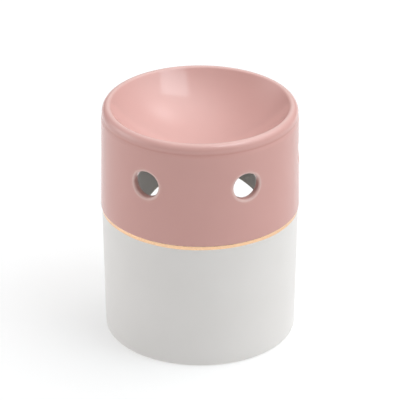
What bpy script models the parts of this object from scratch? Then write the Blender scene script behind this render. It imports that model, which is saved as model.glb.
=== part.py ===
"""Tealight wax melt burner, with its tealight candle.

A round ceramic burner stands on its foot ring. The white lower body has a floor and an arched doorway at
the back (+Y). The pink upper body carries the melt dish and six round vents. A thin gold band lies in a
rebate where the two meet. The tealight stands on the floor under the dish: it slides out through the
doorway, and its candle lifts out of its cup.

Sizes are in millimetres and are turned into metres where meshes are made. The origin is at the centre of
the foot ring, +Z is up, and the front of the burner faces -Y.
"""
import math

import bmesh
import bpy
from mathutils import Matrix

# Driving dimensions, in millimetres.
HEIGHT = 110.3
SEGMENTS = 60                # sides of each large turned piece

WALL_INNER_R = 41.0          # the chamber's radius, straight from floor to dish
FOOT_RING_INNER_R = 37.5
FOOT_EDGE_ROUNDING = 1.0
FOOT_RECESS = 1.5            # how far the underside inside the foot ring stands off the table
FLOOR_TOP = 6.0
WHITE_BASE_R = 43.5
WHITE_TOP_R = 44.4
LOWER_TOP = 61.1

GAP = 0.3                    # clearance between pieces that touch

BAND_HEIGHT = 1.5
BAND_OUTER_R = 44.45
BAND_INNER_R = 43.8

PINK_BASE_R = 45.0           # widest radius of the burner, at the pink wall's lower edge
PINK_TOP_R = 44.0
PINK_EDGE_ROUNDING = 0.8
UPPER_BASE = LOWER_TOP + GAP

LIP_OUTER_R = 43.45          # the lip stands a little inside the wall, above a crease
LIP_HEIGHT = 4.0             # from the crease to the lip's top
LIP_OUTER_ROUNDING = 1.8     # how far down the lip's outer side is rounded
LIP_INNER_ROUNDING = 3.4     # radius of the round that runs from the lip's top into the bowl
DISH_R = 40.3                # where that round meets the bowl
DISH_DEPTH = 19.0            # from there down to the middle of the bowl
DISH_THICKNESS = 4.0
CEILING_FILLET = 3.0         # where the dish's underside meets the wall

VENT_COUNT = 6
VENT_R = 6.2
VENT_HEIGHT = 88.3
VENT_SIDES = 24
VENT_FIRST_ANGLE = 2.0       # degrees round from +X: the ring is not quite square to the doorway

DOOR_HALF_WIDTH = 30.0
DOOR_SPRING = 36.8           # where the doorway's straight jambs end and its arch begins
DOOR_TOP = 57.2
DOOR_ARCH_SIDES = 16

CUP_HEIGHT = 16.0
CUP_BASE_R = 18.5
CUP_TOP_R = 19.0
CUP_RIM_R = 19.5
CUP_WALL = 0.4
CUP_SIDES = 48
WAX_HEIGHT = 13.0
WICK_R = 0.75
WICK_ABOVE_WAX = 7.5
TAB_R = 6.25
TAB_THICKNESS = 0.3
TAB_NECK_HEIGHT = 3.5
TAB_SIDES = 24

MERGE_MM = 0.01


def clear_scene():
    for old in list(bpy.data.objects):
        bpy.data.objects.remove(old, do_unlink=True)


def metres(millimetres):
    return millimetres / 1000.0


def make_material(name, colour, roughness, metallic=0.0):
    material = bpy.data.materials.new(name)
    material.use_nodes = True
    shader = material.node_tree.nodes["Principled BSDF"]
    shader.inputs["Base Color"].default_value = (*colour, 1.0)
    shader.inputs["Roughness"].default_value = roughness
    shader.inputs["Metallic"].default_value = metallic
    return material


def arc(centre_r, centre_z, radius_r, radius_z, start, end, steps):
    """Points of an ellipse arc in the (r, z) plane. Angles are in degrees from +r towards +z."""
    points = []
    for step in range(steps + 1):
        angle = math.radians(start + (end - start) * step / steps)
        points.append((centre_r + radius_r * math.cos(angle), centre_z + radius_z * math.sin(angle)))
    return points


def add_object(name, data, material):
    obj = bpy.data.objects.new(name, data)
    bpy.context.scene.collection.objects.link(obj)
    if material is not None:
        data.materials.append(material)
    return obj


def turned(name, profile, sides, material, ring=False):
    """A solid of revolution about Z.

    The profile's (r, z) points run down the piece's outer side. A ring's profile is closed on itself,
    and any other starts and ends on the axis.
    """
    mesh = bpy.data.meshes.new(name)
    points = [(metres(r), 0.0, metres(z)) for r, z in profile]
    edges = [(i, i + 1) for i in range(len(points) - 1)]
    if ring:
        edges.append((len(points) - 1, 0))
    mesh.from_pydata(points, edges, [])
    obj = add_object(name, mesh, material)
    screw = obj.modifiers.new("turn", "SCREW")
    screw.axis = "Z"
    screw.angle = math.tau
    screw.steps = sides
    screw.render_steps = sides
    screw.use_merge_vertices = True
    screw.merge_threshold = metres(MERGE_MM)
    screw.use_smooth_shade = True
    return obj


def cut(obj, cutter):
    boolean = obj.modifiers.new("cut", "BOOLEAN")
    boolean.operation = "DIFFERENCE"
    boolean.solver = "EXACT"
    boolean.object = cutter
    cutter.hide_render = True
    cutter.display_type = "WIRE"


def dish_sphere():
    """Radius and centre height of the bowl's sphere, and its slope in radians where the lip begins."""
    radius = (DISH_R ** 2 + DISH_DEPTH ** 2) / (2.0 * DISH_DEPTH)
    slope = math.asin(DISH_R / radius)
    edge_z = HEIGHT - LIP_INNER_ROUNDING * (1.0 - math.cos(slope))
    return radius, edge_z - DISH_DEPTH + radius, slope


def lower_body(material):
    foot_edge = arc(WHITE_BASE_R - FOOT_EDGE_ROUNDING, FOOT_EDGE_ROUNDING,
                    FOOT_EDGE_ROUNDING, FOOT_EDGE_ROUNDING, 0, -90, 3)
    rebate_r = BAND_INNER_R - GAP
    rebate_z = LOWER_TOP - BAND_HEIGHT - GAP
    profile = [(0.0, FLOOR_TOP), (WALL_INNER_R, FLOOR_TOP), (WALL_INNER_R, LOWER_TOP)]
    profile += [(rebate_r, LOWER_TOP), (rebate_r, rebate_z)]
    profile += [(WHITE_TOP_R, rebate_z)] + foot_edge
    profile += [(FOOT_RING_INNER_R, 0.0), (FOOT_RING_INNER_R - FOOT_RECESS, FOOT_RECESS), (0.0, FOOT_RECESS)]
    obj = turned("lower_body", profile, SEGMENTS, material)
    cut(obj, doorway_cutter())
    return obj


def doorway_cutter():
    """An arched prism along Y that runs out through the wall's back, level with the floor."""
    inner_y = 26.0
    outer_y = 50.0
    arch = arc(0.0, DOOR_SPRING, DOOR_HALF_WIDTH, DOOR_TOP - DOOR_SPRING, 0, 180, DOOR_ARCH_SIDES)
    outline = [(-DOOR_HALF_WIDTH, FLOOR_TOP), (DOOR_HALF_WIDTH, FLOOR_TOP)] + arch
    shape = bmesh.new()
    face = shape.faces.new([shape.verts.new((metres(x), metres(inner_y), metres(z))) for x, z in outline])
    pushed = bmesh.ops.extrude_face_region(shape, geom=[face])
    moved = [item for item in pushed["geom"] if isinstance(item, bmesh.types.BMVert)]
    bmesh.ops.translate(shape, verts=moved, vec=(0.0, metres(outer_y - inner_y), 0.0))
    bmesh.ops.recalc_face_normals(shape, faces=shape.faces)
    mesh = bpy.data.meshes.new("doorway_cutter")
    shape.to_mesh(mesh)
    shape.free()
    return add_object("doorway_cutter", mesh, None)


def upper_body(material):
    radius, centre_z, slope = dish_sphere()
    bowl = arc(0.0, centre_z, radius, radius, -90, math.degrees(slope) - 90, 9)
    crest_r = DISH_R + LIP_INNER_ROUNDING * math.sin(slope)
    lip_inner = arc(crest_r, HEIGHT - LIP_INNER_ROUNDING, LIP_INNER_ROUNDING, LIP_INNER_ROUNDING,
                    90 + math.degrees(slope) * 2.0 / 3.0, 90, 2)
    lip_outer = arc(crest_r, HEIGHT - LIP_OUTER_ROUNDING, LIP_OUTER_R - crest_r, LIP_OUTER_ROUNDING, 60, 0, 2)
    step_out = PINK_TOP_R - LIP_OUTER_R
    wall_top = arc(LIP_OUTER_R, HEIGHT - LIP_HEIGHT - step_out, step_out, step_out, 90, 0, 2)
    lower_edge = arc(PINK_BASE_R - PINK_EDGE_ROUNDING, UPPER_BASE + PINK_EDGE_ROUNDING,
                     PINK_EDGE_ROUNDING, PINK_EDGE_ROUNDING, 0, -90, 3)
    under_radius = radius + DISH_THICKNESS
    wall_angle = -math.degrees(math.acos((WALL_INNER_R - CEILING_FILLET) / under_radius))
    underside = arc(0.0, centre_z, under_radius, under_radius, wall_angle, -90, 7)
    ceiling_z = underside[0][1]
    profile = bowl + lip_inner + lip_outer + wall_top + lower_edge
    profile += [(WALL_INNER_R, UPPER_BASE), (WALL_INNER_R, ceiling_z - CEILING_FILLET)] + underside
    profile[0] = (0.0, profile[0][1])
    profile[-1] = (0.0, profile[-1][1])
    obj = turned("upper_body", profile, SEGMENTS, material)
    cut(obj, vent_cutter())
    return obj


def vent_cutter():
    """Six short round bars, evenly spaced, that run radially through the wall."""
    bar_length = 16.0
    bar_middle_r = 43.0
    shape = bmesh.new()
    for index in range(VENT_COUNT):
        angle = math.radians(VENT_FIRST_ANGLE + index * 360.0 / VENT_COUNT)
        place = (Matrix.Rotation(angle, 4, "Z")
                 @ Matrix.Translation((metres(bar_middle_r), 0.0, metres(VENT_HEIGHT)))
                 @ Matrix.Rotation(math.radians(90.0), 4, "Y"))
        bmesh.ops.create_cone(shape, cap_ends=True, segments=VENT_SIDES, radius1=metres(VENT_R),
                              radius2=metres(VENT_R), depth=metres(bar_length), matrix=place)
    mesh = bpy.data.meshes.new("vent_cutter")
    shape.to_mesh(mesh)
    shape.free()
    return add_object("vent_cutter", mesh, None)


def gold_band(material):
    top = LOWER_TOP
    bottom = LOWER_TOP - BAND_HEIGHT
    profile = [(BAND_INNER_R, bottom), (BAND_INNER_R, top), (BAND_OUTER_R, top), (BAND_OUTER_R, bottom)]
    return turned("gold_band", profile, SEGMENTS, material, ring=True)


def joint_empty(name, location, parent=None):
    """An empty on a moving piece's joint axis. Locations are in millimetres from the parent."""
    empty = bpy.data.objects.new(name, None)
    empty.location = [metres(value) for value in location]
    empty.parent = parent
    bpy.context.scene.collection.objects.link(empty)
    return empty


def tealight_cup(material):
    rim_z = CUP_HEIGHT - 0.8
    profile = [(0.0, CUP_WALL), (CUP_BASE_R - CUP_WALL - 0.5, CUP_WALL), (CUP_BASE_R - CUP_WALL, CUP_WALL + 0.5)]
    profile += [(CUP_TOP_R - CUP_WALL, rim_z), (CUP_TOP_R - 0.2, CUP_HEIGHT), (CUP_RIM_R, CUP_HEIGHT)]
    profile += [(CUP_RIM_R, rim_z), (CUP_TOP_R, rim_z - 0.3), (CUP_BASE_R, 0.5), (CUP_BASE_R - 0.5, 0.0), (0.0, 0.0)]
    return turned("tealight_cup", profile, CUP_SIDES, material)


def tealight_wax(material):
    bottom = CUP_WALL + GAP
    top = bottom + WAX_HEIGHT
    foot_r = CUP_BASE_R - CUP_WALL - GAP - 0.3
    bore_r = WICK_R + GAP
    neck_bore_r = bore_r + 0.4 + GAP
    pocket_top = bottom + TAB_THICKNESS + GAP
    neck_top = bottom + TAB_THICKNESS + TAB_NECK_HEIGHT + GAP
    profile = [(TAB_R + GAP, bottom), (TAB_R + GAP, pocket_top), (neck_bore_r, pocket_top)]
    profile += [(neck_bore_r, neck_top), (bore_r, neck_top), (bore_r, top), (foot_r + 0.2, top)]
    profile += [(foot_r, bottom + 0.6), (foot_r - 0.6, bottom)]
    return turned("tealight_wax", profile, CUP_SIDES, material, ring=True)


def wick_tab(material):
    bottom = CUP_WALL + GAP
    plate_top = bottom + TAB_THICKNESS
    neck_top = plate_top + TAB_NECK_HEIGHT
    neck_inner_r = WICK_R + GAP
    neck_outer_r = neck_inner_r + 0.4
    profile = [(0.0, plate_top), (neck_inner_r, plate_top), (neck_inner_r, neck_top), (neck_outer_r, neck_top)]
    profile += [(neck_outer_r, plate_top), (TAB_R, plate_top), (TAB_R, bottom), (0.0, bottom)]
    return turned("wick_tab", profile, TAB_SIDES, material)


def tealight_wick(material):
    """The wick stands straight in the wax and leans over a little above it."""
    bottom = CUP_WALL + TAB_THICKNESS + 2.0 * GAP
    wax_top = CUP_WALL + GAP + WAX_HEIGHT
    top = wax_top + WICK_ABOVE_WAX
    lean = 1.6
    steps = 5
    points = [(0.0, bottom), (0.0, wax_top)]
    for step in range(1, steps + 1):
        share = step / steps
        points.append((lean * share ** 2, wax_top + (top - wax_top) * share))
    curve = bpy.data.curves.new("tealight_wick", "CURVE")
    curve.dimensions = "3D"
    curve.bevel_depth = metres(WICK_R)
    curve.bevel_resolution = 2
    curve.use_fill_caps = True
    spline = curve.splines.new("POLY")
    spline.points.add(len(points) - 1)
    for point, (x, z) in zip(spline.points, points):
        point.co = (metres(x), 0.0, metres(z), 1.0)
    return add_object("tealight_wick", curve, material)


def build():
    clear_scene()
    white_glaze = make_material("white_satin_glaze", (0.80, 0.78, 0.75), 0.35)
    pink_glaze = make_material("pink_gloss_glaze", (0.62, 0.33, 0.30), 0.12)
    gold = make_material("gold_lustre", (0.93, 0.62, 0.35), 0.25, 1.0)
    aluminium = make_material("pressed_aluminium", (0.80, 0.81, 0.83), 0.30, 1.0)
    wax = make_material("paraffin_wax", (0.90, 0.88, 0.82), 0.45)
    cotton = make_material("waxed_cotton", (0.75, 0.72, 0.64), 0.90)
    tinplate = make_material("tinplate", (0.62, 0.62, 0.60), 0.35, 1.0)

    lower_body(white_glaze)
    upper_body(pink_glaze)
    gold_band(gold)

    slide_axis = joint_empty("tealight_slide_axis", (0.0, 0.0, FLOOR_TOP + GAP))
    lift_axis = joint_empty("candle_lift_axis", (0.0, 0.0, 0.0), parent=slide_axis)
    tealight_cup(aluminium).parent = slide_axis
    for piece in (tealight_wax(wax), wick_tab(tinplate), tealight_wick(cotton)):
        piece.parent = lift_axis


build()
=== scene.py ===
"""Looks of the tealight wax melt burner: glazed ceramic, gold lustre and a tealight candle.

Shapes are worked out in millimetres and become metres when a mesh is made. The front of the burner faces -Y
and its doorway is at +Y. Directions round the burner are azimuths from +Y towards +X.
"""
import math

import bmesh
import bpy
import numpy as np
from mathutils import Matrix, Vector


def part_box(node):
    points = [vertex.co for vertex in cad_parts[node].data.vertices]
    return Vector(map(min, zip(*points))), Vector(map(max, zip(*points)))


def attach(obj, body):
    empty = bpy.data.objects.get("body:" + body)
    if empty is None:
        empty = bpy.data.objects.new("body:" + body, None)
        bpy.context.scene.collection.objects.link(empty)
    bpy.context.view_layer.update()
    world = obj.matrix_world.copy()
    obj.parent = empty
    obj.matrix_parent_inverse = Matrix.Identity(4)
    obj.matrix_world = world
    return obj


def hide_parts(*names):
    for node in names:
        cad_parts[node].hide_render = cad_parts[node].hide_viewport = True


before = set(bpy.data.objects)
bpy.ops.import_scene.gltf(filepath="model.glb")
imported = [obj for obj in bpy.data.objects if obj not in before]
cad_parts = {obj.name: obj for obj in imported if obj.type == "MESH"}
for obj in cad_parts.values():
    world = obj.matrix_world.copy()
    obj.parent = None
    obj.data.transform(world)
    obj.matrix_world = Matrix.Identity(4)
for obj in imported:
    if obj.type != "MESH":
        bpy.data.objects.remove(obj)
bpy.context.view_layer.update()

MM = 0.001
COLUMNS = 192                # columns of faces right round the burner
WELD_MM = 0.002
SHARP_ANGLE = math.radians(48.0)


def node_box(name):
    """A CAD node's lowest and highest corner, in millimetres."""
    low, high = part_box(name)
    return low / MM, high / MM


lower_high = node_box("lower_body")[1]
upper_low, upper_high = node_box("upper_body")
band_low = node_box("gold_band")[0]
cup_low, cup_high = node_box("tealight_cup")
wax_low, wax_high = node_box("tealight_wax")
tab_low, tab_high = node_box("wick_tab")
wick_low, wick_high = node_box("tealight_wick")

# Burner, in millimetres.
WALL_INNER_R = 41.0
WHITE_BASE_R = 43.5
WHITE_TOP_R = lower_high.x
FOOT_RING_INNER_R = 37.5
FOOT_EDGE_ROUNDING = 1.8
FOOT_BARE_EDGE = 0.1         # the width over which the glaze ends at the foot ring
FOOT_RECESS = 1.5
FLOOR_TOP = 6.0
FLOOR_FILLET = 3.0
SEAM = 0.03                  # the glaze all but fills the joint between the two bodies
LOWER_TOP = upper_low.z - SEAM

UPPER_BASE = upper_low.z
HEIGHT = upper_high.z
PINK_BASE_R = upper_high.x
PINK_TOP_R = 44.2
PINK_EDGE_ROUNDING = 0.8
LIP_OUTER_R = 43.9           # the lip stands a little inside the wall, above a crease
LIP_HEIGHT = 4.2
LIP_OUTER_ROUNDING = 3.3
LIP_INNER_ROUNDING = 1.8
LIP_BLEND = 2.2              # the height over which the wall comes out again below the crease
CREASE_DEPTH = 0.04
CREASE_HALF_WIDTH = 0.15
RUN_AND_SHADE_SHARE = 0.26             # how much darker the pink is outside: deeper glaze, and painted shade down the lip's outer face
RUN_START_R = 42.6
RUN_BLEND = 1.2
RUN_START_DEPTH = 0.8
RUN_DEPTH_BLEND = 3.0
DISH_R = 39.8
DISH_DEPTH = 19.0
DISH_THICKNESS = 4.0
CEILING_FILLET = 3.0

RIM_SAG = 0.6
RIM_LOW_AZIMUTH = math.radians(165.0)

VENT_COUNT = 6
VENT_R = 6.2
VENT_HEIGHT = 88.3
VENT_FIRST_AZIMUTH = math.radians(88.0)
VENT_OUTER_ROUNDING = 0.9
VENT_INNER_ROUNDING = 0.7

DOOR_HALF_WIDTH = 30.0
DOOR_SPRING = 36.8           # where the straight jambs end and the arch starts
DOOR_TOP = 57.2
DOOR_CORNER_R = 1.5
DOOR_ROUNDING = 0.8

BAND_BOTTOM = band_low.z
BAND_SKIN = 0.05             # how far the gold stands off the white glaze


def steps(count):
    return np.linspace(0.0, 1.0, count + 1)


def smooth_step(value):
    value = np.clip(value, 0.0, 1.0)
    return value * value * (3.0 - 2.0 * value)


def around(radius, azimuth, height):
    """Points (x, y, z) round the burner's axis. The three values broadcast."""
    return np.stack(np.broadcast_arrays(radius * np.sin(azimuth), radius * np.cos(azimuth), height), axis=-1)


class Shell:
    """Collects grids of points, in millimetres, and welds them into one smooth mesh.

    Every point also has four marks: edge (how thin the glaze is, at an edge), bare (unglazed clay), inside
    (the white glaze inside the pink body) and a darker pink (thicker glaze, with painted shade under the
    lip).
    """

    MARKS = ("edge", "bare", "inside", "pool")

    def __init__(self):
        self.points = []
        self.marks = {name: [] for name in self.MARKS}
        self.faces = []
        self.count = 0

    def grid(self, points, closed=False, **marks):
        """Adds a grid of shape (rows, columns, 3). A closed grid joins its last column to its first."""
        points = np.asarray(points, float)
        rows, columns = points.shape[:2]
        index = np.arange(rows * columns).reshape(rows, columns) + self.count
        left = index if closed else index[:, :-1]
        right = np.roll(index, -1, axis=1) if closed else index[:, 1:]
        quads = np.stack([left[:-1], right[:-1], right[1:], left[1:]], axis=-1)
        self.faces.extend(quads.reshape(-1, 4).tolist())
        self.points.append(points.reshape(-1, 3))
        for name in self.MARKS:
            value = np.broadcast_to(np.asarray(marks.get(name, 0.0), float), (rows, columns))
            self.marks[name].append(value.reshape(-1))
        self.count += rows * columns

    def turned(self, profile, columns=COLUMNS, first=0.0, **marks):
        """Adds a surface of revolution through the profile's (r, z) points. A mark is one value a row."""
        azimuth = first + np.arange(columns) * math.tau / columns
        profile = np.asarray(profile, float)
        points = around(profile[:, :1], azimuth, profile[:, 1:])
        by_row = {name: np.broadcast_to(np.reshape(value, (-1, 1)), (len(profile), 1))
                  for name, value in marks.items()}
        self.grid(points, closed=True, **by_row)

    def build(self, name, material, shape=None):
        """Welds the grids, turns every face outwards and returns the object."""
        points = np.concatenate(self.points)
        if shape is not None:
            points = shape(points)
        mesh_data = bmesh.new()
        layers = [mesh_data.verts.layers.float.new(mark) for mark in self.MARKS]
        marks = [np.concatenate(self.marks[mark]) for mark in self.MARKS]
        verts = [mesh_data.verts.new(point) for point in (points * MM).tolist()]
        for layer, values in zip(layers, marks):
            for vert, value in zip(verts, values):
                vert[layer] = value
        for face in self.faces:
            if len(set(face)) == len(face):
                mesh_data.faces.new([verts[i] for i in face])
        bmesh.ops.remove_doubles(mesh_data, verts=mesh_data.verts, dist=WELD_MM * MM)
        bmesh.ops.dissolve_degenerate(mesh_data, edges=mesh_data.edges, dist=WELD_MM * MM)
        bmesh.ops.recalc_face_normals(mesh_data, faces=mesh_data.faces)
        open_edges = sum(1 for edge in mesh_data.edges if not edge.is_manifold)
        print(f"{name}: {len(mesh_data.faces)} faces, {open_edges} open edges")
        mesh = bpy.data.meshes.new(name)
        mesh_data.to_mesh(mesh)
        mesh_data.free()
        return make_piece(name, mesh, material)


def make_piece(name, mesh, material):
    mesh.shade_smooth()
    mesh.set_sharp_from_angle(angle=SHARP_ANGLE)
    obj = bpy.data.objects.new(name, mesh)
    bpy.context.scene.collection.objects.link(obj)
    mesh.materials.append(material)
    return obj


def place(piece, body, slot, *nodes):
    """The piece rides on the body and stands for the CAD nodes, which it hides. The slot is not used."""
    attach(piece, body)
    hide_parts(*nodes)


def arc(centre_r, centre_z, radius_r, radius_z, start, end, count):
    """Points of an ellipse arc in the (r, z) plane. Angles are in degrees from +r towards +z."""
    angle = np.radians(start + (end - start) * steps(count))
    return np.stack([centre_r + radius_r * np.cos(angle), centre_z + radius_z * np.sin(angle)], axis=-1)


def from_kiln(points):
    """Cast ware is never quite true: the wall moves in by up to 0.07 mm, and the rim sags at the front."""
    x, y, z = points.T
    azimuth = np.arctan2(x, y)
    wave = 0.5 + 0.5 * np.sin(2.0 * azimuth + 0.9 + 0.012 * z)
    wave = wave + 0.35 * (0.5 + 0.5 * np.sin(3.0 * azimuth - 0.4 - 0.03 * z))
    share = 1.0 - 0.0016 * wave / 1.35
    sag = RIM_SAG * (0.5 + 0.5 * np.cos(azimuth - RIM_LOW_AZIMUTH)) * smooth_step((z - VENT_HEIGHT) / 18.0)
    return np.stack([x * share, y * share, z - sag], axis=-1)


# The lower body.

def white_wall_r(z):
    share = (z - FOOT_EDGE_ROUNDING) / (LOWER_TOP - FOOT_EDGE_ROUNDING)
    return WHITE_BASE_R + (WHITE_TOP_R - WHITE_BASE_R) * share


FILLET_LENGTH = FLOOR_FILLET * math.pi / 2.0
FLOOR_R = WALL_INNER_R - FLOOR_FILLET


def chamber_profile(along):
    """The chamber wall's (r, z), at a length along it from where the floor's fillet starts."""
    turn = np.clip(along / FLOOR_FILLET, 0.0, math.pi / 2.0)
    climb = np.maximum(along - FILLET_LENGTH, 0.0)
    return FLOOR_R + FLOOR_FILLET * np.sin(turn), FLOOR_TOP + FLOOR_FILLET * (1.0 - np.cos(turn)) + climb


def chamber_length(z):
    """The length along the chamber's profile at a height."""
    turn = np.arccos(np.clip(1.0 - (z - FLOOR_TOP) / FLOOR_FILLET, 0.0, 1.0))
    climb = z - FLOOR_TOP - FLOOR_FILLET
    return np.where(climb < 0.0, FLOOR_FILLET * turn, FILLET_LENGTH + climb)


# The wall round the doorway is one tile of the burner's wall, a third of the way round.
DOOR_SIDE_COLUMNS = 40       # faces up each side of the doorway and of its tile
DOOR_CORNER_COLUMNS = 4
DOOR_TILE_HALF_ANGLE = math.radians(60.0)
DOOR_TILE_COLUMNS = COLUMNS // 3
WALL_BLEND = np.array([0.0, 0.04, 0.12, 0.24, 0.38, 0.54, 0.70, 0.85, 1.0])    # from the doorway to the tile
FILLET_STEPS = 6
ROUNDING_STEPS = 5
ROUNDING_FADE = 5.0          # the height above the floor within which the inner rounding fades out
TUNNEL_STEPS = 3


def doorway_outline():
    """The doorway's jambs and arch in the (x, z) plane, from its foot at +X, with normals into the wall."""
    corner_angle = np.radians(-90.0 + 90.0 * steps(DOOR_CORNER_COLUMNS))
    corner_x = DOOR_HALF_WIDTH - DOOR_CORNER_R
    corner = np.stack([corner_x + DOOR_CORNER_R * np.cos(corner_angle),
                       FLOOR_TOP + DOOR_CORNER_R + DOOR_CORNER_R * np.sin(corner_angle),
                       np.cos(corner_angle), np.sin(corner_angle)], axis=-1)
    rise = steps(DOOR_SIDE_COLUMNS - DOOR_CORNER_COLUMNS)[1:]
    jamb_base = FLOOR_TOP + DOOR_CORNER_R
    jamb = np.stack([np.full_like(rise, DOOR_HALF_WIDTH), jamb_base + (DOOR_SPRING - jamb_base) * rise,
                     np.ones_like(rise), np.zeros_like(rise)], axis=-1)
    turn = math.pi * steps(DOOR_TILE_COLUMNS)[1:]
    arch_rise = DOOR_TOP - DOOR_SPRING
    normal = np.stack([np.cos(turn) / DOOR_HALF_WIDTH, np.sin(turn) / arch_rise], axis=-1)
    normal /= np.linalg.norm(normal, axis=1, keepdims=True)
    arch = np.stack([DOOR_HALF_WIDTH * np.cos(turn), DOOR_SPRING + arch_rise * np.sin(turn),
                     normal[:, 0], normal[:, 1]], axis=-1)
    other_side = np.concatenate([corner, jamb])[::-1][1:] * (-1.0, 1.0, -1.0, 1.0)
    return np.concatenate([corner, jamb, arch, other_side])


def sill_outline():
    """The doorway's sill, from -X to +X: its points lie in line with the floor's outer points."""
    half_angle = math.asin((DOOR_HALF_WIDTH - DOOR_CORNER_R) / FLOOR_R)
    x = FLOOR_R * np.sin(half_angle * (2.0 * steps(DOOR_TILE_COLUMNS) - 1.0))
    return np.stack([x, np.full_like(x, FLOOR_TOP), np.zeros_like(x), -np.ones_like(x)], axis=-1)


def offset(outline, distance):
    """The outline's (x, z), moved along its normals."""
    distance = np.broadcast_to(distance, len(outline))
    return outline[:, 0] + outline[:, 2] * distance, outline[:, 1] + outline[:, 3] * distance


def edge_mark(distance, width):
    """1 on an edge, and next to 0 from twice the width away."""
    return np.exp(-(distance / width) ** 2)


def lower_body_shell():
    shell = Shell()
    outline = doorway_outline()
    sill = sill_outline()
    ring = np.concatenate([outline, sill[1:-1]])
    side = steps(DOOR_SIDE_COLUMNS)
    wall_rows = FOOT_EDGE_ROUNDING + (LOWER_TOP - FOOT_EDGE_ROUNDING) * side
    tile = 2.0 * steps(DOOR_TILE_COLUMNS) - 1.0
    half = DOOR_TILE_HALF_ANGLE

    # The outside, round the doorway.
    tile_azimuth = np.concatenate([np.full_like(side, half), -half * tile[1:], np.full_like(side[1:], -half),
                                   half * tile[1:-1]])
    tile_z = np.concatenate([wall_rows, np.full_like(tile[1:], LOWER_TOP), wall_rows[::-1][1:],
                             np.full_like(tile[1:-1], FOOT_EDGE_ROUNDING)])
    edge_x, edge_z = offset(ring, DOOR_ROUNDING)
    edge_azimuth = np.arcsin(edge_x / white_wall_r(edge_z))
    rows, marks = [], []
    for share in WALL_BLEND[::-1]:
        azimuth = edge_azimuth + (tile_azimuth - edge_azimuth) * share
        z = edge_z + (tile_z - edge_z) * share
        radius = white_wall_r(z)
        rows.append(around(radius, azimuth, z))
        distance = np.hypot((azimuth - edge_azimuth) * radius, z - edge_z)
        marks.append(edge_mark(distance, 0.8))
    for turn in steps(ROUNDING_STEPS)[1:] * math.pi / 2.0:
        x, z = offset(ring, DOOR_ROUNDING * (1.0 - math.sin(turn)))
        y = np.sqrt(white_wall_r(z) ** 2 - x ** 2) - DOOR_ROUNDING * (1.0 - math.cos(turn))
        rows.append(np.stack([x, y, z], axis=-1))
        marks.append(np.ones(len(x)))
    shell.grid(np.array(rows), closed=True, edge=np.array(marks))

    # Through the wall.
    def reach(points):
        x, z = points[:, 0], points[:, 1]
        return np.sqrt(white_wall_r(z) ** 2 - x ** 2) - DOOR_ROUNDING

    rounding = DOOR_ROUNDING * smooth_step((outline[:, 1] - FLOOR_TOP) / ROUNDING_FADE)
    x, z = outline[:, 0], outline[:, 1]
    inner_y = np.sqrt(chamber_profile(chamber_length(z))[0] ** 2 - x ** 2) + rounding
    outer_y = reach(outline)
    rows = [np.stack([x, outer_y + (inner_y - outer_y) * share, z], axis=-1) for share in steps(TUNNEL_STEPS)]
    marks = [[mark] for mark in (1.0, 0.1, 0.1, 1.0)]
    for turn in (1.0 - steps(ROUNDING_STEPS)[1:]) * math.pi / 2.0:
        round_x, round_z = offset(outline, rounding * (1.0 - math.sin(turn)))
        radius = chamber_profile(chamber_length(round_z))[0]
        round_y = np.sqrt(radius ** 2 - round_x ** 2) + rounding * (1.0 - math.cos(turn))
        rows.append(np.stack([round_x, round_y, round_z], axis=-1))
        marks.append([1.0])
    shell.grid(np.array(rows), edge=np.array(marks))

    x, z = sill[:, 0], sill[:, 1]
    inner_y, outer_y = np.sqrt(FLOOR_R ** 2 - x ** 2), reach(sill)
    rows = [np.stack([x, outer_y + (inner_y - outer_y) * share, z], axis=-1) for share in steps(TUNNEL_STEPS)]
    shell.grid(np.array(rows), edge=np.array([[1.0], [0.0], [0.0], [0.0]]))

    # The chamber's wall, round the doorway and beyond it.
    climb = (LOWER_TOP - FLOOR_TOP - FLOOR_FILLET) * steps(DOOR_SIDE_COLUMNS - FILLET_STEPS)[1:]
    chamber_rows = np.concatenate([FILLET_LENGTH * steps(FILLET_STEPS), FILLET_LENGTH + climb])
    top_along = chamber_rows[-1]
    arch_azimuth = np.concatenate([np.full_like(side, half), -half * tile[1:], np.full_like(side[1:], -half)])
    arch_along = np.concatenate([chamber_rows, np.full_like(tile[1:], top_along), chamber_rows[::-1][1:]])
    edge_x, edge_z = offset(outline, rounding)
    edge_along = chamber_length(edge_z)
    edge_azimuth = np.arcsin(edge_x / chamber_profile(edge_along)[0])
    rows, marks = [], []
    for share in WALL_BLEND:
        azimuth = edge_azimuth + (arch_azimuth - edge_azimuth) * share
        along = edge_along + (arch_along - edge_along) * share
        radius, z = chamber_profile(along)
        rows.append(around(radius, azimuth, z))
        marks.append(edge_mark(np.hypot((azimuth - edge_azimuth) * radius, along - edge_along), 0.6))
    shell.grid(np.array(rows), edge=np.array(marks))

    rest_azimuth = half + (math.tau - 2.0 * half) * steps(COLUMNS - DOOR_TILE_COLUMNS)
    radius, z = (values[:, None] for values in chamber_profile(chamber_rows))
    shell.grid(around(radius, rest_azimuth, z))

    # The floor.
    foot_azimuth = edge_azimuth[0] + (half - edge_azimuth[0]) * WALL_BLEND
    floor_azimuth = np.concatenate([np.arcsin(sill[:, 0] / FLOOR_R), foot_azimuth[1:], rest_azimuth[1:],
                                    math.tau - foot_azimuth[::-1][1:-1]])
    radius = FLOOR_R * np.array([1.0, 0.93, 0.8, 0.64, 0.46, 0.26, 0.0])[:, None]
    shell.grid(around(radius, floor_azimuth, FLOOR_TOP), closed=True)

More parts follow.
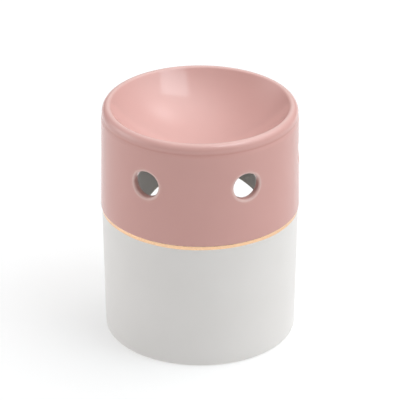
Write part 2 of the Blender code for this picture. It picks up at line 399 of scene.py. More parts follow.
    # The outside wall beyond the doorway, the rim and the foot.
    shell.grid(around(white_wall_r(wall_rows)[:, None], rest_azimuth, wall_rows[:, None]))
    shell.turned([(WALL_INNER_R, LOWER_TOP), (WHITE_TOP_R, LOWER_TOP)])
    foot = arc(WHITE_BASE_R - FOOT_EDGE_ROUNDING, FOOT_EDGE_ROUNDING, FOOT_EDGE_ROUNDING, FOOT_EDGE_ROUNDING,
               0, -90, 7)
    bare_from_r = WHITE_BASE_R - FOOT_EDGE_ROUNDING + FOOT_BARE_EDGE
    shell.turned(foot, bare=smooth_step((bare_from_r - foot[:, 0]) / FOOT_BARE_EDGE))
    ring_r = np.linspace(foot[-1, 0], FOOT_RING_INNER_R, 5)
    shell.turned(np.stack([ring_r, np.zeros_like(ring_r)], axis=-1), bare=1.0)
    recess_r = FOOT_RING_INNER_R - FOOT_RECESS
    inner_edge = [(FOOT_RING_INNER_R, 0.0), (FOOT_RING_INNER_R - 0.25, 0.12),
                  (recess_r + 0.3, FOOT_RECESS - 0.12), (recess_r, FOOT_RECESS)]
    shell.turned(inner_edge, bare=[1.0, 1.0, 0.0, 0.0])
    under_r = np.linspace(recess_r, 0.0, 7)
    shell.turned(np.stack([under_r, np.full_like(under_r, FOOT_RECESS)], axis=-1))
    return shell


# The upper body.

def pink_wall_r(z):
    share = (z - UPPER_BASE - PINK_EDGE_ROUNDING) / (HEIGHT - LIP_HEIGHT - UPPER_BASE - PINK_EDGE_ROUNDING)
    return PINK_BASE_R + (PINK_TOP_R - PINK_BASE_R) * share


def chamber_wall_r(z):
    return np.full_like(z, WALL_INNER_R)


# Each vent has its own tile of wall, outside and inside.
VENT_TILE_COLUMNS = 16
VENT_TILE_ROWS = 16
VENT_TILE_HALF_ANGLE = math.pi * VENT_TILE_COLUMNS / COLUMNS
VENT_TILE_HALF_HEIGHT = 11.5
VENT_INNER_TILE_HALF_HEIGHT = 8.4
VENT_BLEND = np.array([0.0, 0.08, 0.3, 0.62, 1.0])    # from the vent to its tile's edge


def square_edge(half_angle, half_height):
    """Azimuths and heights of a tile's edge points, anticlockwise as azimuth runs to the left."""
    across = 2.0 * steps(VENT_TILE_COLUMNS) - 1.0
    up = 2.0 * steps(VENT_TILE_ROWS) - 1.0
    azimuth = np.concatenate([np.ones_like(up), -across[1:], -np.ones_like(up[1:]), across[1:-1]])
    height = np.concatenate([up, np.ones_like(across[1:]), up[::-1][1:], -np.ones_like(across[1:-1])])
    return azimuth * half_angle, height * half_height


def vent_grid(shell, vent_azimuth):
    """One vent: the wall outside it, its rounded edges and bore, and the wall inside it."""
    count = 2 * (VENT_TILE_COLUMNS + VENT_TILE_ROWS)
    turn = -math.pi / 4.0 + np.arange(count) * math.tau / count
    across, up = np.cos(turn), np.sin(turn)
    rows, edge, inside = [], [], []

    def add(sideways, height, depth_from, depth, edge_value, inside_value=0.0):
        """Points at a depth behind a wall, seen along the vent's own axis."""
        z = VENT_HEIGHT + height
        ahead = np.sqrt(depth_from(z) ** 2 - sideways ** 2) - depth
        sine, cosine = math.sin(vent_azimuth), math.cos(vent_azimuth)
        rows.append(np.stack([ahead * sine + sideways * cosine,
                              ahead * cosine - sideways * sine, z], axis=-1))
        edge.append(np.broadcast_to(edge_value, count))
        inside.append(np.broadcast_to(inside_value, count))

    def wall_rows(wall, rounding, half_height, blend, inside_value):
        radius = VENT_R + rounding
        circle_z = VENT_HEIGHT + radius * up
        circle_azimuth = np.arcsin(radius * across / wall(circle_z))
        tile_azimuth, tile_height = square_edge(VENT_TILE_HALF_ANGLE, half_height)
        for share in blend:
            azimuth = circle_azimuth + (tile_azimuth - circle_azimuth) * share
            height = radius * up + (tile_height - radius * up) * share
            wall_r = wall(VENT_HEIGHT + height)
            distance = np.hypot(wall_r * np.sin(azimuth), height) - radius
            add(wall_r * np.sin(azimuth), height, wall, 0.0, edge_mark(distance, 0.3), inside_value)

    wall_rows(pink_wall_r, VENT_OUTER_ROUNDING, VENT_TILE_HALF_HEIGHT, VENT_BLEND[::-1], 0.0)
    for angle in steps(ROUNDING_STEPS + 1)[1:] * math.pi / 2.0:
        radius = VENT_R + VENT_OUTER_ROUNDING * (1.0 - math.sin(angle))
        depth = VENT_OUTER_ROUNDING * (1.0 - math.cos(angle))
        add(radius * across, radius * up, pink_wall_r, depth, 1.0 - 0.6 * smooth_step(angle - 0.6))
    front = pink_wall_r(VENT_HEIGHT + VENT_R * up)
    front = np.sqrt(front ** 2 - (VENT_R * across) ** 2) - VENT_OUTER_ROUNDING
    back = np.sqrt(WALL_INNER_R ** 2 - (VENT_R * across) ** 2) + VENT_INNER_ROUNDING
    for share in (0.25, 0.5, 0.75, 1.0):
        add(VENT_R * across, VENT_R * up, chamber_wall_r,
            -VENT_INNER_ROUNDING - (front - back) * (1.0 - share), 0.7 * (share == 1.0))
    for angle in (1.0 - steps(ROUNDING_STEPS)[1:]) * math.pi / 2.0:
        radius = VENT_R + VENT_INNER_ROUNDING * (1.0 - math.sin(angle))
        depth = -VENT_INNER_ROUNDING * (1.0 - math.cos(angle))
        add(radius * across, radius * up, chamber_wall_r, depth, 1.0, smooth_step(1.0 - angle))
    wall_rows(chamber_wall_r, VENT_INNER_ROUNDING, VENT_INNER_TILE_HALF_HEIGHT, VENT_BLEND[1:], 1.0)
    shell.grid(np.array(rows), closed=True, edge=np.array(edge), inside=np.array(inside))


def between_vents(shell, vent_azimuth, wall, half_height, inside):
    """The wall from one vent's tile to the next."""
    gap_columns = COLUMNS // VENT_COUNT - VENT_TILE_COLUMNS
    azimuth = vent_azimuth + VENT_TILE_HALF_ANGLE + steps(gap_columns) * gap_columns * math.tau / COLUMNS
    z = VENT_HEIGHT + half_height * (2.0 * steps(VENT_TILE_ROWS) - 1.0)
    radius = wall(z)[:, None]
    shell.grid(around(radius, azimuth, z[:, None]), inside=inside)


def upper_body_shell():
    shell = Shell()
    first = VENT_FIRST_AZIMUTH
    for index in range(VENT_COUNT):
        vent_azimuth = first + index * math.tau / VENT_COUNT
        vent_grid(shell, vent_azimuth)
        between_vents(shell, vent_azimuth, pink_wall_r, VENT_TILE_HALF_HEIGHT, 0.0)
        between_vents(shell, vent_azimuth, chamber_wall_r, VENT_INNER_TILE_HALF_HEIGHT, 1.0)
    first -= VENT_TILE_HALF_ANGLE

    # From the bowl's middle, over the lip and down to the vents.
    sphere_r = (DISH_R ** 2 + DISH_DEPTH ** 2) / (2.0 * DISH_DEPTH)
    slope = math.asin(DISH_R / sphere_r)
    sphere_z = HEIGHT - LIP_INNER_ROUNDING * (1.0 - math.cos(slope)) - DISH_DEPTH + sphere_r
    bowl = arc(0.0, sphere_z, sphere_r, sphere_r, -90, math.degrees(slope) - 90, 40)
    crest_r = DISH_R + LIP_INNER_ROUNDING * math.sin(slope)
    lip_inner = arc(crest_r, HEIGHT - LIP_INNER_ROUNDING, LIP_INNER_ROUNDING, LIP_INNER_ROUNDING,
                    90 + math.degrees(slope), 90, 12)
    lip_outer = arc(crest_r, HEIGHT - LIP_OUTER_ROUNDING, LIP_OUTER_R - crest_r, LIP_OUTER_ROUNDING,
                    90, 0, 8)
    crease_z = HEIGHT - LIP_HEIGHT
    wall_r = pink_wall_r(crease_z - LIP_BLEND)
    crease_top = crease_z + CREASE_HALF_WIDTH
    crease = [(LIP_OUTER_R, HEIGHT - LIP_OUTER_ROUNDING),
              (LIP_OUTER_R - 0.02, crease_top + CREASE_HALF_WIDTH)]
    for share in steps(12):
        dip = CREASE_DEPTH * math.exp(-((share - 0.12) / 0.14) ** 2)
        crease.append((LIP_OUTER_R + (wall_r - LIP_OUTER_R) * smooth_step(share) - dip,
                       crease_top - (LIP_BLEND + CREASE_HALF_WIDTH) * share))
    crease = np.array(crease)
    above_z = np.linspace(crease_z - LIP_BLEND, VENT_HEIGHT + VENT_TILE_HALF_HEIGHT, 6)
    above = np.stack([pink_wall_r(above_z), above_z], axis=-1)
    crest = np.array([crest_r, HEIGHT])
    for part, width in ((bowl, 0.0), (lip_inner, 0.9), (lip_outer, 0.9), (above, 0.0)):
        distance = np.hypot(*(part - crest).T)
        shell.turned(part, first=first, edge=0.45 * edge_mark(distance, width) if width else 0.0)
    # Painted shade: the crease under the lip is drawn a darker pink, partly as shade and partly as pooled
    # glaze.
    shell.turned(crease, first=first, pool=0.55 * edge_mark(crease[:, 1] - crease_z, 0.6))

    # Below the vents, round the lower edge to the chamber.
    below_z = np.linspace(VENT_HEIGHT - VENT_TILE_HALF_HEIGHT, UPPER_BASE + PINK_EDGE_ROUNDING, 12)
    shell.turned(np.stack([pink_wall_r(below_z), below_z], axis=-1), first=first)
    shell.turned(arc(PINK_BASE_R - PINK_EDGE_ROUNDING, UPPER_BASE + PINK_EDGE_ROUNDING, PINK_EDGE_ROUNDING,
                     PINK_EDGE_ROUNDING, 0, -90, 6), first=first)
    joint_r = np.linspace(PINK_BASE_R - PINK_EDGE_ROUNDING, WALL_INNER_R, 3)
    shell.turned(np.stack([joint_r, np.full_like(joint_r, UPPER_BASE)], axis=-1), first=first,
                 inside=[0.0, 0.5, 1.0])

    # The chamber's wall and the underside of the dish.
    low_z = np.linspace(UPPER_BASE, VENT_HEIGHT - VENT_INNER_TILE_HALF_HEIGHT, 13)
    shell.turned(np.stack([chamber_wall_r(low_z), low_z], axis=-1), first=first, inside=1.0)
    under_r = sphere_r + DISH_THICKNESS
    ceiling_angle = -math.degrees(math.acos((WALL_INNER_R - CEILING_FILLET) / under_r))
    underside = arc(0.0, sphere_z, under_r, under_r, ceiling_angle, -90, 30)
    ceiling_z = underside[0, 1]
    fillet_z = ceiling_z - CEILING_FILLET
    fillet = arc(WALL_INNER_R - CEILING_FILLET, fillet_z, CEILING_FILLET, CEILING_FILLET, 0, 90, 6)
    high_z = np.array([VENT_HEIGHT + VENT_INNER_TILE_HALF_HEIGHT, fillet_z])
    for part in (np.stack([chamber_wall_r(high_z), high_z], axis=-1), fillet, underside):
        shell.turned(part, first=first, inside=1.0)

    # The outside is a deeper pink than the bowl: partly glaze that has run down and lies thicker, partly
    # painted shade that darkens the lip's outer face towards the crease.
    def run_down_and_shade(points):
        outside = smooth_step((np.hypot(points[:, 0], points[:, 1]) - RUN_START_R) / RUN_BLEND)
        return RUN_AND_SHADE_SHARE * outside * smooth_step((HEIGHT - RUN_START_DEPTH - points[:, 2]) / RUN_DEPTH_BLEND)

    shell.marks["pool"] = [np.maximum(pool, run_down_and_shade(points))
                           for pool, points in zip(shell.marks["pool"], shell.points)]
    return shell


# The gold line.

def gold_band_piece(material):
    """A thin painted skin with brushed, slightly uneven edges."""
    azimuth = np.arange(2 * COLUMNS) * math.tau / (2 * COLUMNS)
    lower_wave = 0.08 * np.sin(5.0 * azimuth + 1.0) + 0.03 * np.sin(13.0 * azimuth)
    bottom = BAND_BOTTOM + 0.05 + lower_wave
    top = np.full_like(azimuth, LOWER_TOP - 0.01)
    rows = []
    for share, skin in ((0.0, -0.03), (0.0, 0.0), (0.05, 0.7), (0.15, 1.0), (0.5, 1.0), (0.85, 1.0),
                        (0.95, 0.7), (1.0, 0.0), (1.0, -0.03)):
        z = bottom + (top - bottom) * share
        rows.append(around(white_wall_r(z) + BAND_SKIN * skin, azimuth, z))
    rows.append(rows[0])
    shell = Shell()
    shell.grid(np.array(rows), closed=True)
    return shell.build("gold_lustre_line", material, from_kiln)


# The tealight.

CUP_COLUMNS = 360
CUP_BASE_R = 18.5
CUP_WALL_TOP_R = 18.88
CUP_SHEET = 0.22             # thickness of the pressed aluminium
CUP_CORNER_R = 1.0
CUP_BEAD_R = 0.42            # the curled rim
CUP_PANEL_R = 14.0           # the raised panel in the cup's base
CUP_PANEL_RISE = 0.45
FLUTE_COUNT = 72
FLUTE_DEPTH = 0.05
DENT_DEPTH = 0.10

WAX_BED = 0.3                # how far the wax's top lies below the CAD wax's
WAX_CLEARANCE = 0.05
WICK_STRANDS = 3
STRAND_R = 0.27
BRAID_WIDTH = 0.40
BRAID_THICKNESS = 0.21
BRAID_PITCH = 2.6
TAB_NECK_R = 1.45


def pressed(points):
    """The cup's wall has shallow flutes from the press and a few soft dents."""
    x, y, z = points.T
    azimuth, radius = np.arctan2(x, y), np.hypot(x, y)
    rise = (z - cup_low.z) / (cup_high.z - cup_low.z)
    flute = np.cos(FLUTE_COUNT * azimuth)
    flute = flute * smooth_step((rise - 0.10) / 0.12) * smooth_step((0.80 - rise) / 0.2)
    dent = np.sin(3.0 * azimuth + 5.0 * rise) * np.sin(7.0 * azimuth - 3.0 * rise + 1.0)
    dent = np.minimum(dent, 0.0) * smooth_step(rise * 3.0) * smooth_step((0.97 - rise) * 8.0)
    on_wall = smooth_step((radius - CUP_BASE_R + 1.6) / 0.8)
    share = 1.0 + (FLUTE_DEPTH * (flute - 1.0) + DENT_DEPTH * dent) * on_wall / np.maximum(radius, 1.0)
    return np.stack([x * share, y * share, z], axis=-1)


def cup_inner_r(z):
    """The inside radius of the cup's wall at a height."""
    share = (z - cup_low.z) / (cup_high.z - cup_low.z)
    return CUP_BASE_R - CUP_SHEET + (CUP_WALL_TOP_R - CUP_BASE_R) * share


def tealight_cup_piece(material):
    base, top = cup_low.z, cup_high.z
    bead_r = cup_high.x - CUP_BEAD_R
    corner_r = CUP_BASE_R - CUP_CORNER_R
    panel = [(0.0, base + CUP_PANEL_RISE), (5.0, base + CUP_PANEL_RISE), (10.0, base + CUP_PANEL_RISE),
             (CUP_PANEL_R - 0.9, base + CUP_PANEL_RISE), (CUP_PANEL_R - 0.5, base + CUP_PANEL_RISE - 0.06),
             (CUP_PANEL_R + 0.4, base + 0.06), (CUP_PANEL_R + 0.9, base), (corner_r, base)]
    outside = arc(corner_r, base + CUP_CORNER_R, CUP_CORNER_R, CUP_CORNER_R, -90, 0, 6)
    wall_z = np.linspace(base + CUP_CORNER_R, top - 2.0 * CUP_BEAD_R - 0.1, 26)
    wall = np.stack([cup_inner_r(wall_z) + CUP_SHEET, wall_z], axis=-1)
    bead = arc(bead_r, top - CUP_BEAD_R, CUP_BEAD_R, CUP_BEAD_R, -125, 180, 18)
    inner_z = np.linspace(top - 2.0 * CUP_BEAD_R, base + CUP_CORNER_R, 26)
    inner_wall = np.stack([cup_inner_r(inner_z), inner_z], axis=-1)
    inner_corner_r = CUP_CORNER_R - CUP_SHEET
    inner_corner = arc(corner_r, base + CUP_CORNER_R, inner_corner_r, inner_corner_r, 0, -90, 6)
    inner_panel = [(r, z + CUP_SHEET) for r, z in panel[::-1]]
    profile = np.concatenate([panel, outside[1:], wall[1:], bead, inner_wall, inner_corner[1:],
                              inner_panel[1:]])
    shell = Shell()
    shell.turned(profile, columns=CUP_COLUMNS)
    return shell.build("tealight_cup_pressed", material, pressed)


def wax_surface(radius, rim_r):
    """Height of the wax: it climbs a little at the cup and at the wick, and dips between them."""
    level = wax_high.z - WAX_BED
    at_rim = 0.28 * np.exp((radius - rim_r) / 0.7)
    at_wick = 0.30 * np.exp(-np.maximum(radius - 0.6, 0.0) / 0.9)
    dip = -0.22 * np.sin(math.pi * np.clip(radius / rim_r, 0.0, 1.0)) ** 2
    return level + at_rim + at_wick + dip


def set_wax(points):
    """The top sets in soft, uneven ripples."""
    x, y, z = points.T
    near_top = smooth_step((z - wax_high.z + 2.0) / 1.0)
    ripple = 0.05 * np.sin(0.55 * x + 0.8 * np.sin(0.3 * y)) * np.sin(0.48 * y + 0.6)
    ripple += 0.02 * np.sin(1.7 * x - 0.9 * y)
    fade = smooth_step((17.8 - np.hypot(x, y)) / 4.0)
    return np.stack([x, y, z + ripple * near_top * fade], axis=-1)


def candle_wax_piece(material):
    bottom = wax_low.z
    rim_r = float(cup_inner_r(wax_high.z)) - WAX_CLEARANCE
    foot_r = float(cup_inner_r(bottom)) - WAX_CLEARANCE
    pocket_r = tab_high.x + 0.15
    pocket_z = tab_low.z + 0.45
    near_rim = rim_r - np.array([1.5, 1.0, 0.6, 0.3, 0.1, 0.0])
    top_r = np.concatenate([np.linspace(0.0, 2.4, 7), np.linspace(3.0, rim_r - 2.0, 16), near_rim])
    top = np.stack([top_r, wax_surface(top_r, rim_r)], axis=-1)
    side_z = np.linspace(top[-1, 1] - 0.15, bottom + 1.0, 14)
    side = np.stack([cup_inner_r(side_z) - WAX_CLEARANCE, side_z], axis=-1)
    foot = arc(foot_r - 1.0, bottom + 1.0, 1.0, 1.0, 0, -90, 6)
    under = [(14.0, bottom), (10.0, bottom), (pocket_r + 0.3, bottom), (pocket_r, bottom + 0.1),
             (pocket_r, pocket_z), (3.0, pocket_z), (0.0, pocket_z)]
    shell = Shell()
    shell.turned(np.concatenate([top, side, foot[1:], under]), columns=128)
    return shell.build("candle_wax", material, set_wax)


def tube(shell, path, radius, sides=8):
    """A tube along (x, y, z) points, closed at both ends. The radius is one value or one a point."""
    path = np.asarray(path, float)
    radius = np.broadcast_to(radius, len(path))[:, None, None]
    ahead = np.gradient(path, axis=0)
    ahead /= np.linalg.norm(ahead, axis=1, keepdims=True)
    side = np.cross(ahead, (0.0, 1.0, 0.02))
    side /= np.linalg.norm(side, axis=1, keepdims=True)
    other = np.cross(ahead, side)
    turn = (np.arange(sides) * math.tau / sides)[None, :, None]
    rings = path[:, None] + radius * (side[:, None] * np.cos(turn) + other[:, None] * np.sin(turn))
    first, last = (np.repeat(path[i][None, None], sides, axis=1) for i in (0, -1))
    shell.grid(np.concatenate([first, rings, last]), closed=True)


def wick_piece(material):
    """A flat braid that leans over a little above the wax, with a few loose fibres at its tip."""
    bottom, top = wick_low.z, wick_high.z - 0.1
    lean = wick_high.x - 0.75
    z = np.linspace(bottom, top, 170)
    share = np.clip((z - wax_high.z) / (top - wax_high.z), 0.0, 1.0)
    middle = np.stack([lean * share ** 2, np.zeros_like(z), z], axis=-1)
    shell = Shell()
    for strand in range(WICK_STRANDS):
        turn = math.tau * (z / BRAID_PITCH + strand / WICK_STRANDS)
        weave = np.stack([BRAID_WIDTH * np.sin(turn), BRAID_THICKNESS * np.sin(2.0 * turn),
                          np.zeros_like(z)], axis=-1)
        taper = np.full_like(z, STRAND_R)
        taper[-3:] *= (0.95, 0.8, 0.5)
        tube(shell, middle + weave, taper)
    for fibre in range(7):
        angle = 0.7 + fibre * 2.4
        out = np.array([math.cos(angle) * 0.42, math.sin(angle) * 0.35, 0.0])
        reach = steps(6)[:, None]
        start = middle[-1] - (0.0, 0.0, 0.5) + out * 0.4
        path = start + out * 0.8 * reach ** 2 + np.array([0.0, 0.0, 0.45 + 0.05 * (fibre % 3)]) * reach
        tube(shell, path, 0.035, sides=5)
    return shell.build("braided_wick", material)


def wick_tab_piece(material):
    """A stamped disc with a ring pressed into it, and a neck crimped on the wick."""
    bottom = tab_low.z
    plate_r = tab_high.x
    plate = 0.3
    neck_top = tab_high.z
    profile = [(0.0, bottom), (3.2, bottom), (3.6, bottom + 0.12), (4.2, bottom + 0.12), (4.6, bottom),
               (plate_r - 0.12, bottom), (plate_r, bottom + 0.1), (plate_r, bottom + plate - 0.08),
               (plate_r - 0.1, bottom + plate), (4.7, bottom + plate), (4.3, bottom + plate + 0.12),
               (3.5, bottom + plate + 0.12), (3.1, bottom + plate), (TAB_NECK_R + 0.5, bottom + plate),
               (TAB_NECK_R + 0.12, bottom + plate + 0.12), (TAB_NECK_R, bottom + plate + 0.5)]
    crimp_z = np.linspace(bottom + plate + 0.8, neck_top - 0.1, 12)
    profile += [(TAB_NECK_R, z) for z in crimp_z]
    profile += [(TAB_NECK_R - 0.12, neck_top), (TAB_NECK_R - 0.36, neck_top),
                (TAB_NECK_R - 0.42, neck_top - 0.1), (TAB_NECK_R - 0.42, bottom + plate + 0.1),
                (0.0, bottom + plate + 0.1)]

    def crimped(points):
        x, y, z = points.T
        azimuth, radius = np.arctan2(x, y), np.hypot(x, y)
        on_neck = smooth_step((z - bottom - plate - 0.8) / 0.6) * smooth_step((neck_top - 0.4 - z) / 0.6)
        squeeze = 0.16 * np.cos(2.0 * azimuth) ** 4 * on_neck * (radius < TAB_NECK_R + 0.3)
        share = 1.0 - squeeze / np.maximum(radius, 0.5)
        return np.stack([x * share, y * share, z], axis=-1)

    shell = Shell()
    shell.turned(profile, columns=96)
    return shell.build("stamped_wick_tab", material, crimped)


# Materials.

class Nodes:
    """Short calls that build a node tree."""

    def __init__(self, tree):
        self.tree = tree

    def node(self, kind, **settings):
        made = self.tree.nodes.new(kind)
        for key, value in settings.items():
            setattr(made, key, value)
        return made

    def link(self, output, socket):
        self.tree.links.new(output, socket)

    def put(self, value, socket):
        """A socket takes a number, a colour or another node's output."""
        if isinstance(value, bpy.types.NodeSocket):
            self.link(value, socket)
        elif isinstance(value, tuple) and len(value) == 3 and socket.type == "RGBA":
            socket.default_value = (*value, 1.0)
        else:
            socket.default_value = value

    def maths(self, operation, first, second):
        made = self.node("ShaderNodeMath", operation=operation)
        self.put(first, made.inputs[0])
        self.put(second, made.inputs[1])
        return made.outputs[0]


class Finish(Nodes):
    """One material. Lengths in its textures are in millimetres."""

    def __init__(self, name):
        self.material = bpy.data.materials.new(name)
        self.material.use_nodes = True
        super().__init__(self.material.node_tree)
        self.shader = self.tree.nodes["Principled BSDF"]
        scaled = self.node("ShaderNodeVectorMath", operation="SCALE")
        self.link(self.node("ShaderNodeTexCoord").outputs["Object"], scaled.inputs[0])
        scaled.inputs["Scale"].default_value = 1.0 / MM
        self.place = scaled.outputs[0]

    def noise(self, size, detail=2.0, roughness=0.5, stretch=None):
        """Noise whose features are about size mm across, from 0 to 1."""
        where = self.place
        if stretch is not None:
            scaled = self.node("ShaderNodeVectorMath", operation="MULTIPLY")
            self.link(where, scaled.inputs[0])
            scaled.inputs[1].default_value = stretch
            where = scaled.outputs[0]
        made = self.node("ShaderNodeTexNoise", noise_dimensions="4D")
        self.link(where, made.inputs["Vector"])
        made.inputs["Scale"].default_value = 1.0 / size
        made.inputs["Detail"].default_value = detail
        made.inputs["Roughness"].default_value = roughness
        return made.outputs["Fac"]

    def cells(self, size):
        """Cells about size mm across."""
        made = self.node("ShaderNodeTexVoronoi")
        self.link(self.place, made.inputs["Vector"])
        made.inputs["Scale"].default_value = 1.0 / size
        return made

    def mark(self, name):
        return self.node("ShaderNodeAttribute", attribute_name=name).outputs["Fac"]

    def scale(self, value, from_low, from_high, to_low, to_high):
        made = self.node("ShaderNodeMapRange")
        for socket, number in zip(made.inputs, (value, from_low, from_high, to_low, to_high)):
            self.put(number, socket)
        return made.outputs["Result"]

    def blend(self, share, first, second):
        made = self.node("ShaderNodeMix", data_type="RGBA")
        self.put(share, made.inputs["Factor"])
        self.put(first, made.inputs[6])
        self.put(second, made.inputs[7])
        return made.outputs[2]

    def bump(self, height, distance, below=None):
        """Relief of that distance in millimetres, on top of another bump."""
        made = self.node("ShaderNodeBump")
        made.inputs["Strength"].default_value = 1.0
        made.inputs["Distance"].default_value = distance * MM
        self.put(height, made.inputs["Height"])
        if below is not None:
            self.link(below, made.inputs["Normal"])
        return made.outputs["Normal"]

    def set(self, **values):
        for key, value in values.items():
            self.put(value, self.shader.inputs[key.replace("_", " ")])
        return self.material


CLAY = (0.70, 0.63, 0.54)


def white_glaze():
    finish = Finish("white_satin_glaze")
    colour = finish.blend(finish.noise(22.0, 2.0), (0.758, 0.736, 0.712), (0.800, 0.778, 0.760))
    thin = finish.maths("MULTIPLY", finish.mark("edge"), finish.scale(finish.noise(2.5), 0.3, 0.7, 0.35, 0.7))
    colour = finish.blend(thin, colour, (0.76, 0.70, 0.62))
    clay = finish.blend(finish.noise(0.5, 4.0), CLAY, (0.78, 0.72, 0.64))
    bare = finish.mark("bare")
    colour = finish.blend(bare, colour, clay)
    rough = finish.scale(finish.noise(9.0, 2.0), 0.1, 0.9, 0.29, 0.35)
    rough = finish.maths("MAXIMUM", rough, finish.maths("MULTIPLY", bare, 0.85))
    relief = finish.bump(finish.noise(7.0, 1.0), 0.020)
    relief = finish.bump(finish.noise(1.1, 2.0), 0.0025, relief)
    relief = finish.bump(finish.maths("MULTIPLY", bare, finish.noise(0.25, 3.0)), 0.05, relief)
    return finish.set(Base_Color=colour, Roughness=rough, Normal=relief, IOR=1.5)


def pink_glaze():
    finish = Finish("pink_gloss_glaze")
    colour = finish.blend(finish.noise(18.0, 2.0), (0.668, 0.380, 0.348), (0.698, 0.408, 0.376))
    thin = finish.maths("MULTIPLY", finish.mark("edge"), finish.scale(finish.noise(1.8), 0.3, 0.7, 0.75, 1.0))
    colour = finish.blend(thin, colour, (0.80, 0.60, 0.56))
    # Darker pink: partly thicker, pooled glaze, partly painted shade in the crease under the lip and down the
    # lip's outer face.
    colour = finish.blend(finish.mark("pool"), colour, (0.53, 0.23, 0.195))
    inside = finish.mark("inside")
    colour = finish.blend(inside, colour, (0.80, 0.78, 0.75))
    rough = finish.scale(finish.noise(8.0, 2.0), 0.1, 0.9, 0.08, 0.15)
    relief = finish.bump(finish.noise(6.0, 1.0), 0.015)
    relief = finish.bump(finish.noise(0.9, 2.0), 0.0015, relief)
    return finish.set(Base_Color=colour, Roughness=rough, Normal=relief, IOR=1.5)


def gold_lustre():
    finish = Finish("gold_lustre")
    streaks = finish.noise(1.4, 3.0, stretch=(0.35, 0.35, 3.0))
    colour = finish.blend(streaks, (0.84, 0.53, 0.32), (0.91, 0.63, 0.41))
    rough = finish.scale(streaks, 0.3, 0.7, 0.20, 0.36)
    relief = finish.bump(streaks, 0.006)
    return finish.set(Base_Color=colour, Roughness=rough, Metallic=1.0, Normal=relief)


def pressed_aluminium():
    finish = Finish("pressed_aluminium")
    drawn = finish.noise(0.5, 3.0, stretch=(1.0, 1.0, 0.06))
    colour = finish.blend(finish.noise(6.0, 3.0), (0.79, 0.80, 0.81), (0.86, 0.87, 0.88))
    rough = finish.scale(drawn, 0.3, 0.7, 0.24, 0.40)
    relief = finish.bump(drawn, 0.008)
    relief = finish.bump(finish.noise(4.0, 2.0), 0.05, relief)
    return finish.set(Base_Color=colour, Roughness=rough, Metallic=1.0, Normal=relief)


def paraffin_wax():
    finish = Finish("paraffin_wax")
    mottle = finish.noise(3.0, 4.0, 0.6)
    colour = finish.blend(mottle, (0.86, 0.84, 0.78), (0.93, 0.92, 0.88))
    crystals = finish.scale(finish.cells(1.6).outputs["Distance"], 0.0, 0.9, 0.0, 1.0)
    colour = finish.blend(finish.maths("MULTIPLY", crystals, 0.25), colour, (0.95, 0.94, 0.92))
    rough = finish.scale(mottle, 0.3, 0.7, 0.36, 0.52)
    relief = finish.bump(mottle, 0.03)
    relief = finish.bump(crystals, 0.01, relief)
    return finish.set(Base_Color=colour, Roughness=rough, Normal=relief, IOR=1.44, Subsurface_Weight=0.6,
                      Subsurface_Radius=(3.0 * MM, 2.4 * MM, 1.8 * MM), Subsurface_Scale=1.0)


def waxed_cotton():
    finish = Finish("waxed_cotton")
    fibres = finish.noise(0.16, 3.0, stretch=(1.0, 1.0, 0.3))
    colour = finish.blend(fibres, (0.70, 0.66, 0.57), (0.90, 0.88, 0.82))
    rough = finish.scale(fibres, 0.3, 0.7, 0.55, 0.80)
    relief = finish.bump(fibres, 0.04)
    return finish.set(Base_Color=colour, Roughness=rough, Normal=relief)


def tinplate():
    finish = Finish("tinplate")
    spangle = finish.cells(1.3).outputs["Color"]
    grey = finish.node("ShaderNodeRGBToBW")
    finish.link(spangle, grey.inputs[0])
    colour = finish.blend(grey.outputs[0], (0.56, 0.56, 0.55), (0.68, 0.68, 0.66))
    rough = finish.scale(finish.noise(0.8, 3.0), 0.3, 0.7, 0.28, 0.45)
    relief = finish.bump(finish.noise(0.4, 2.0), 0.01)
    return finish.set(Base_Color=colour, Roughness=rough, Metallic=1.0, Normal=relief)


# The studio: floor, sky, softbox and camera.

WHITE = (1.0, 1.0, 1.0)
FLOOR_SIZE = 8.0             # in metres, as is everything in the studio
FLOOR_GLOW = 0.48            # the table is lit from below, so shadows on it are faint


def make_floor():
    finish = Finish("studio_floor")
    colour = finish.blend(finish.noise(40.0), (0.49, 0.49, 0.49), (0.51, 0.51, 0.51))
    finish.set(Base_Color=colour, Roughness=0.5, Specular_IOR_Level=0.2, Emission_Color=WHITE,
               Emission_Strength=FLOOR_GLOW)
    mesh = bpy.data.meshes.new("studio_floor")
    half = FLOOR_SIZE / 2.0
    mesh.from_pydata([(-half, -half, 0.0), (half, -half, 0.0), (half, half, 0.0), (-half, half, 0.0)], [],
                     [(0, 1, 2, 3)])
    mesh.materials.append(finish.material)
    floor = bpy.data.objects.new("studio_floor", mesh)
    bpy.context.scene.collection.objects.link(floor)


SKY_BASE = 0.005             # the sky's light between its lobes
# Each lobe is a soft patch of sky: where it is, how tight it is, and how bright. The first ten brightnesses
# are a least-squares solver's, rounded, and three of those were then changed. The last is given.
SKY_LOBES = (
    ((0.0, 0.99, 0.14), 10.0, 0.47),
    ((-0.99, 0.0, 0.14), 10.0, 2.9),
    ((0.76, 0.31, 0.57), 10.0, 0.6),
    ((0.31, 0.76, 0.57), 10.0, 0.4),
    ((-0.31, -0.76, 0.57), 10.0, 0.23),
    ((0.76, -0.31, 0.57), 10.0, 1.15),
    ((0.45, 0.0, 0.89), 10.0, 2.3),
    ((0.0, 0.45, 0.89), 10.0, 0.84),
    ((0.0, -0.45, 0.89), 10.0, 0.23),
    ((0.0, 0.0, 1.0), 10.0, 1.0),
    ((0.42, 0.43, 0.80), 60.0, 1.8),
)
SKY_SEEN = 1.1               # the plain backdrop that the camera sees


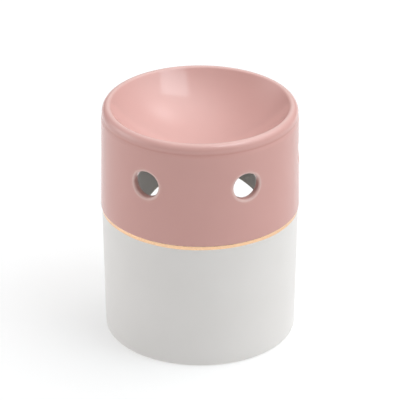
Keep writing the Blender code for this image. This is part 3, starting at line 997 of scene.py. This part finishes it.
def make_sky():
    world = bpy.data.worlds.new("studio_sky")
    bpy.context.scene.world = world
    world.use_nodes = True
    world.node_tree.nodes.clear()
    sky = Nodes(world.node_tree)

    direction = sky.node("ShaderNodeTexCoord").outputs["Generated"]
    total = SKY_BASE
    for towards, tightness, brightness in SKY_LOBES:
        dot = sky.node("ShaderNodeVectorMath", operation="DOT_PRODUCT")
        sky.link(direction, dot.inputs[0])
        dot.inputs[1].default_value = Vector(towards).normalized()
        patch = sky.maths("POWER", sky.maths("MAXIMUM", dot.outputs["Value"], 0.0), tightness)
        total = sky.maths("ADD", total, sky.maths("MULTIPLY", patch, brightness))

    lit = sky.node("ShaderNodeBackground")
    seen = sky.node("ShaderNodeBackground")
    for background, strength in ((lit, total), (seen, SKY_SEEN)):
        sky.put(WHITE, background.inputs["Color"])
        sky.put(strength, background.inputs["Strength"])
    choose = sky.node("ShaderNodeMixShader")
    sky.link(sky.node("ShaderNodeLightPath").outputs["Is Camera Ray"], choose.inputs[0])
    sky.link(lit.outputs[0], choose.inputs[1])
    sky.link(seen.outputs[0], choose.inputs[2])
    sky.link(choose.outputs[0], sky.node("ShaderNodeOutputWorld").inputs["Surface"])


def make_softbox(name, aim_at, towards, distance, along, size, radiance, colour):
    """A rectangular softbox of a given radiance. Its width runs along a direction."""
    away = Vector(towards).normalized()
    across = (Vector(along) - away * away.dot(Vector(along))).normalized()
    data = bpy.data.lights.new(name, "AREA")
    data.shape = "RECTANGLE"
    data.size, data.size_y = size
    data.energy = radiance * math.pi * size[0] * size[1]
    data.color = colour
    light = bpy.data.objects.new(name, data)
    light.location = Vector(aim_at) + away * distance
    light.rotation_euler = Matrix((across, away.cross(across), away)).transposed().to_euler()
    bpy.context.scene.collection.objects.link(light)


# The camera's elevation, lens and aim come from a least-squares fit to the burner's outline.
CAMERA_AZIMUTH = math.radians(4.5)
CAMERA_ELEVATION = math.radians(26.74)
CAMERA_DISTANCE = 1.2
CAMERA_LENS = 238.25         # in millimetres, as is the sensor
CAMERA_AIM_Z = 0.06202
CAMERA_AIM_RIGHT = -0.00003


def make_camera():
    data = bpy.data.cameras.new("camera")
    data.lens = CAMERA_LENS
    data.sensor_width = 36.0
    data.clip_start, data.clip_end = 0.05, 30.0
    camera = bpy.data.objects.new("camera", data)
    back = Vector((math.sin(CAMERA_AZIMUTH) * math.cos(CAMERA_ELEVATION),
                   -math.cos(CAMERA_AZIMUTH) * math.cos(CAMERA_ELEVATION), math.sin(CAMERA_ELEVATION)))
    right = Vector((math.cos(CAMERA_AZIMUTH), math.sin(CAMERA_AZIMUTH), 0.0))
    aim = Vector((0.0, 0.0, CAMERA_AIM_Z)) + right * CAMERA_AIM_RIGHT
    camera.location = aim + back * CAMERA_DISTANCE
    camera.rotation_euler = (-back).to_track_quat("-Z", "Y").to_euler()
    bpy.context.scene.collection.objects.link(camera)
    bpy.context.scene.camera = camera


make_camera()
make_sky()
make_floor()
make_softbox("overhead_softbox", aim_at=(-0.015, 0.033, 0.105), towards=(0.425, -0.228, 0.876), distance=1.0,
             along=(0.83, 0.33, -0.32), size=(0.43, 0.46), radiance=2.6, colour=(0.80, 0.95, 1.0))
bpy.context.scene.view_settings.view_transform = "Standard"

lower_body = lower_body_shell().build("lower_body_glazed", white_glaze(), from_kiln)
upper_body = upper_body_shell().build("upper_body_glazed", pink_glaze(), from_kiln)
place(lower_body, "burner", "white_glaze", "lower_body")
place(upper_body, "burner", "pink_glaze", "upper_body")
place(gold_band_piece(gold_lustre()), "burner", "gold_lustre", "gold_band")
place(tealight_cup_piece(pressed_aluminium()), "cup", "aluminium", "tealight_cup")
place(candle_wax_piece(paraffin_wax()), "candle", "wax", "tealight_wax")
place(wick_piece(waxed_cotton()), "candle", "wick", "tealight_wick")
place(wick_tab_piece(tinplate()), "candle", "tinplate", "wick_tab")
